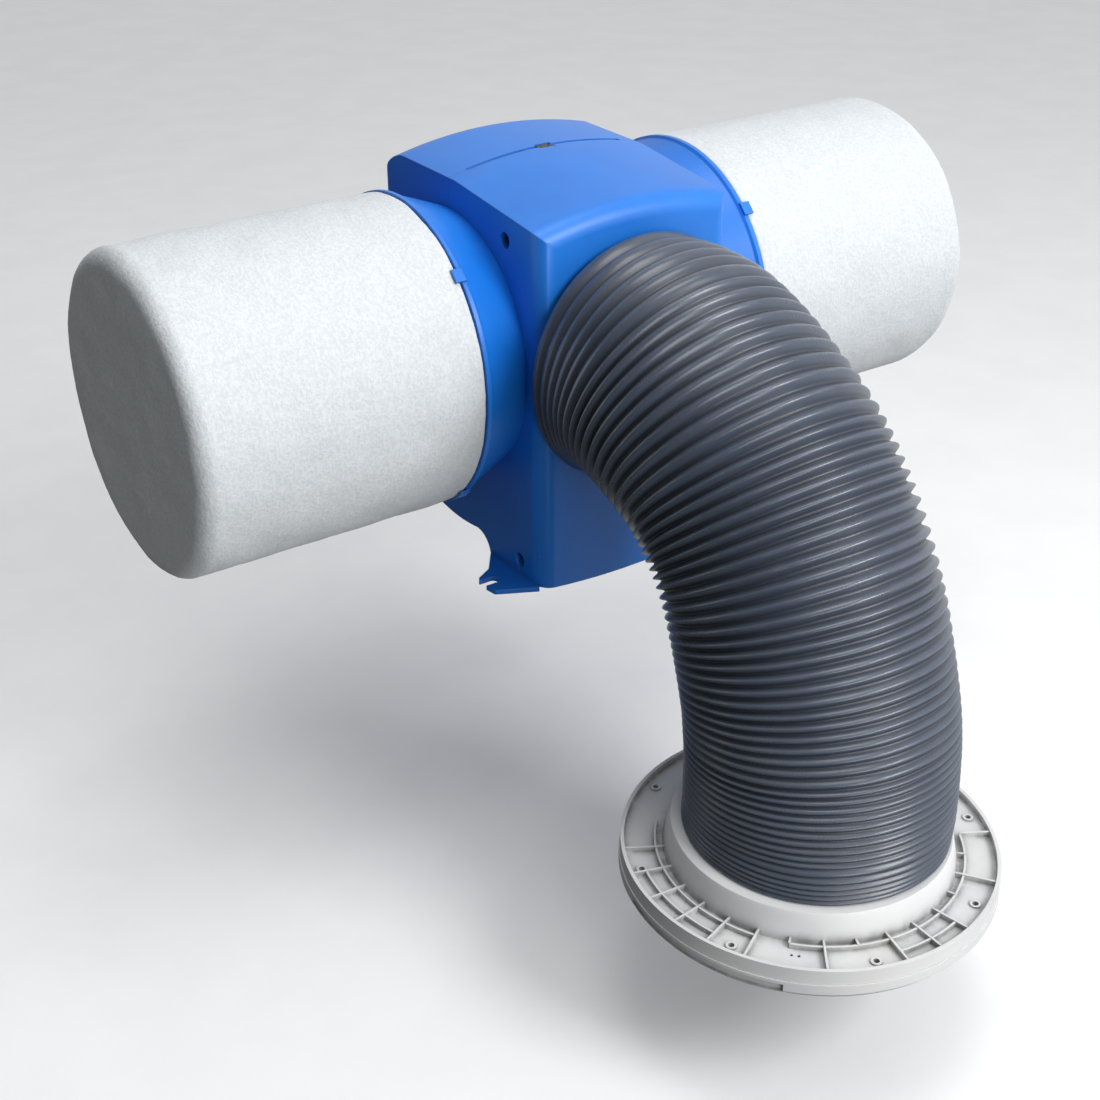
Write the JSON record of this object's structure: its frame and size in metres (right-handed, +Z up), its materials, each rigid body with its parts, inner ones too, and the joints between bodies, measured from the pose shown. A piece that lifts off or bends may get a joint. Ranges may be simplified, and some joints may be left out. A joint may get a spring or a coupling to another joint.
{
  "type": "loft positive input ventilation unit",
  "caption": "Loft ventilation fan unit in a blue casing between two cylindrical wadding filters, with a bent flexible duct down to a round ribbed ceiling diffuser.",
  "frame": {"origin": "midway between the two open fixing slots, on the underside of the fixing ears", "axes": "+X along the fan and filter axis towards the right-hand filter, -Y the way the duct leaves the front of the casing, +Z up"},
  "size_m": [0.8192, 0.7505, 0.48],
  "materials": {
    "blue_plastic": "satin moulded plastic, bright blue",
    "filter_wadding": "white polyester fibre wadding, matt and faintly speckled",
    "grey_plastic": "moulded grey plastic",
    "black_plastic": "glass-filled black plastic",
    "zinc_steel": "zinc-plated steel",
    "black_steel": "black oxide steel",
    "motor_shell": "die-cast aluminium",
    "copper_wire": "enamelled copper winding",
    "rubber": "soft black rubber",
    "circuit_board": "green solder resist",
    "duct_plastic": "satin dark blue-grey corrugated plastic film",
    "white_plastic": "white moulded plastic, ejector marks on the ribbed side"
  },
  "bodies": {
    "fan_unit": {"front_casing": "blue_plastic", "rear_casing": "blue_plastic", "seam_clip": "black_plastic", "cross_bars": "zinc_steel", "casing_screws": "black_steel", "left_collar": "blue_plastic", "right_collar": "blue_plastic", "collar_screws": "zinc_steel", "left_scroll_shell": "grey_plastic", "right_scroll_shell": "grey_plastic", "left_inlet_cone": "grey_plastic", "right_inlet_cone": "grey_plastic", "scroll_screws": "zinc_steel", "outlet_spigot": "blue_plastic", "spigot_screws": "zinc_steel", "motor_bracket": "zinc_steel", "rubber_mounts": "rubber", "bracket_screws": "zinc_steel", "motor_stator": "motor_shell", "stator_windings": "copper_wire", "motor_bearings": "zinc_steel", "control_tray": "black_plastic", "control_board": "circuit_board", "board_parts": "grey_plastic", "terminal_block": "white_plastic", "tray_screws": "zinc_steel", "cable_gland": "black_plastic", "gland_nut": "black_plastic", "flexible_duct": "duct_plastic"},
    "fan_wheel": {"motor_rotor": "motor_shell", "motor_shaft": "zinc_steel", "rotor_magnets": "black_steel", "impeller": "black_plastic", "impeller_screws": "zinc_steel"},
    "left_filter": {"left_filter_sleeve": "filter_wadding", "left_filter_cage": "grey_plastic"},
    "right_filter": {"right_filter_sleeve": "filter_wadding", "right_filter_cage": "grey_plastic"},
    "diffuser": {"diffuser_flange": "white_plastic", "trim_ring": "white_plastic", "peg_sockets": "white_plastic"},
    "room_disc": {"diffuser_disc": "white_plastic", "disc_pegs": "white_plastic"}
  },
  "joints": [
    {"name": "impeller_spin", "type": "hinge", "parent": "fan_unit", "child": "fan_wheel", "pos_m": [0, 0.103, 0.2], "axis": [1, 0, 0], "continuous": true},
    {"name": "left_filter_pull", "type": "slide", "parent": "fan_unit", "child": "left_filter", "axis": [-1, 0, 0], "range_m": [0, 0.28]},
    {"name": "right_filter_pull", "type": "slide", "parent": "fan_unit", "child": "right_filter", "axis": [1, 0, 0], "range_m": [0, 0.28]},
    {"name": "duct_stretch", "type": "slide", "parent": "fan_unit", "child": "diffuser", "axis": [0, 0, -1], "range_m": [-0.05, 0.08], "deforming": ["flexible_duct"]},
    {"name": "disc_pull", "type": "slide", "parent": "diffuser", "child": "room_disc", "axis": [0, 0, -1], "range_m": [0, 0.01]}
  ]
}
